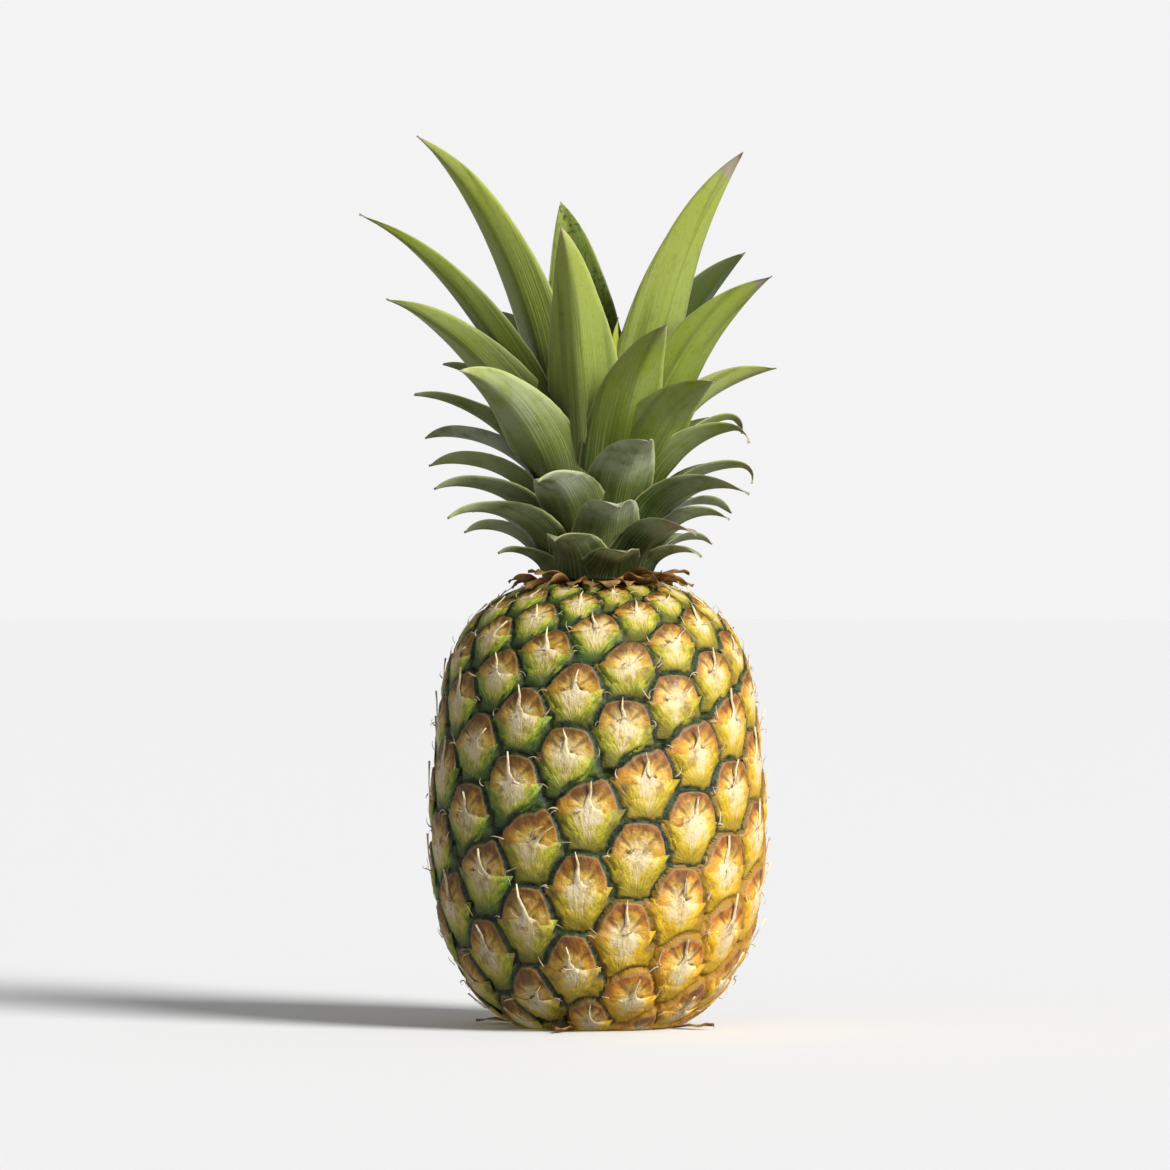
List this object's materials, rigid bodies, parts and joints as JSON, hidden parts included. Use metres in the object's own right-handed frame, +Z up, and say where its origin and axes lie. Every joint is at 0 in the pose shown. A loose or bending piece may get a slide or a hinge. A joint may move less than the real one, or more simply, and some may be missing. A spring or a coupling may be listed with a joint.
{
  "type": "pineapple",
  "caption": "Whole ripe pineapple standing on its cut base, with a spiral of raised eyes and a crown of separate pointed leaves.",
  "frame": {"origin": "centre of the cut stalk's flat face, which is flush with the flat base that the fruit stands on", "axes": "+Z up through the fruit and the crown; -Y is the front, the side that faces the viewer, and +X is the viewer's right"},
  "size_m": [0.1531, 0.1407, 0.3302],
  "materials": {
    "rind": "waxy, satin",
    "cut_stalk": "matt, fibrous",
    "stem": "satin",
    "outer_leaf": "satin with a grey bloom",
    "inner_leaf": "satin",
    "dry_bract": "matt, papery"
  },
  "bodies": {
    "root": {"fruit": "rind", "stalk_end": "cut_stalk", "base_bract_1": "dry_bract", "base_bract_2": "dry_bract", "base_bract_3": "dry_bract", "base_bract_4": "dry_bract", "crown_stem": "stem", "collar_bract_1": "dry_bract", "collar_bract_2": "dry_bract", "collar_bract_3": "dry_bract", "collar_bract_4": "dry_bract", "collar_bract_5": "dry_bract", "leaf_01": "outer_leaf", "leaf_02": "outer_leaf", "leaf_03": "outer_leaf", "leaf_04": "outer_leaf", "leaf_05": "outer_leaf", "leaf_06": "outer_leaf", "leaf_07": "outer_leaf", "leaf_08": "outer_leaf", "leaf_09": "outer_leaf", "leaf_10": "outer_leaf", "leaf_11": "outer_leaf", "leaf_12": "outer_leaf", "leaf_13": "outer_leaf", "leaf_14": "outer_leaf", "leaf_15": "outer_leaf", "leaf_16": "outer_leaf", "leaf_17": "outer_leaf", "leaf_18": "outer_leaf", "leaf_19": "outer_leaf", "leaf_20": "outer_leaf", "leaf_21": "outer_leaf", "leaf_22": "outer_leaf", "leaf_23": "outer_leaf", "leaf_24": "outer_leaf", "leaf_25": "inner_leaf", "leaf_26": "inner_leaf", "leaf_27": "inner_leaf", "leaf_28": "inner_leaf", "leaf_29": "inner_leaf", "leaf_30": "inner_leaf", "leaf_31": "inner_leaf", "leaf_32": "inner_leaf", "leaf_33": "inner_leaf", "leaf_34": "inner_leaf", "leaf_35": "inner_leaf", "leaf_36": "inner_leaf", "leaf_37": "inner_leaf", "leaf_38": "inner_leaf", "leaf_39": "inner_leaf", "leaf_40": "inner_leaf", "leaf_41": "inner_leaf", "leaf_42": "inner_leaf", "leaf_43": "inner_leaf", "leaf_44": "inner_leaf", "leaf_45": "inner_leaf", "leaf_46": "inner_leaf", "leaf_47": "inner_leaf", "leaf_48": "inner_leaf"}
  },
  "joints": []
}
